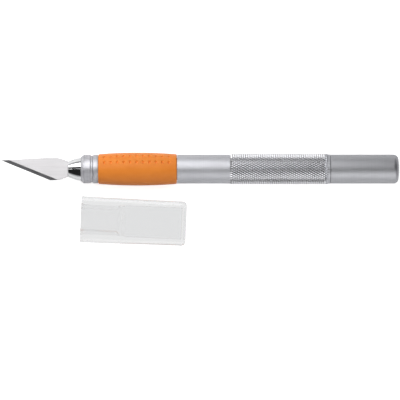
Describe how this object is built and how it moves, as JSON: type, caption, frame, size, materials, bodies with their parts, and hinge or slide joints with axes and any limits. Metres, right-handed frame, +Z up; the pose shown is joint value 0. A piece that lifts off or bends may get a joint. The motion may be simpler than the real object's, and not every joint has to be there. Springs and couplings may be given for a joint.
{
  "type": "hobby craft knife",
  "caption": "Slim cutting knife with a pointed blade held in a split chuck, a soft dimpled grip, a knurled barrel, a twist release at the rear and a clear cap lying beside it",
  "frame": {"origin": "on the surface that the knife and its cap lie on, under the middle of their common box", "axes": "+X along the knife from blade tip to release knob, +Z up from the surface, +Y away from the cap; the blade lies nearly flat with its cutting edge towards -Y"},
  "size_m": [0.1646, 0.0384, 0.0144],
  "materials": {
    "blade_steel": "thin ground carbon steel with a darker ground bevel",
    "chrome": "polished bright plating",
    "turned_aluminium": "satin, finely turned",
    "barrel_aluminium": "smooth satin, with a diamond-knurled band on the barrel",
    "spring_steel": "plain bright steel",
    "brass": "plain machined brass",
    "orange_rubber": "soft satin rubber with rows of moulded dimples",
    "clear_plastic": "clear moulded plastic"
  },
  "bodies": {
    "handle": {"nose_collar": "turned_aluminium", "nose_ring": "turned_aluminium", "front_spindle": "barrel_aluminium", "soft_grip": "orange_rubber", "barrel": "barrel_aluminium", "key_pin": "spring_steel", "return_spring": "spring_steel", "spring_washer_rear": "spring_steel", "guide_bush": "brass", "wave_washer": "spring_steel", "thrust_washer_front": "spring_steel", "rear_bush": "brass", "thrust_washer_rear": "spring_steel"},
    "release_knob": {"rear_knob": "barrel_aluminium", "drawbar": "spring_steel", "retaining_clip": "spring_steel"},
    "chuck": {"collet": "chrome", "spring_washer_front": "spring_steel"},
    "blade": {"blade": "blade_steel"},
    "cap": {"safety_cap": "clear_plastic"}
  },
  "joints": [
    {"name": "knob_turn", "type": "hinge", "parent": "handle", "child": "release_knob", "pos_m": [0.05394, 0.01241, 0.00622], "axis": [1, 0, -0.0075], "range_deg": [0, 720]},
    {"name": "collet_slide", "type": "slide", "parent": "handle", "child": "chuck", "axis": [-1, 0, 0.0075], "range_m": [0, 0.001]},
    {"name": "blade_draw", "type": "slide", "parent": "chuck", "child": "blade", "axis": [-1, 0, 0.0075], "range_m": [0, 0.02]},
    {"name": "cap_lift", "type": "slide", "parent": "handle", "child": "cap", "axis": [0, 0, 1], "range_m": [0, 0.04]}
  ],
  "couplings": [
    {"joint": "collet_slide", "follows": "knob_turn", "m_per_rad": 0.000079577}
  ]
}
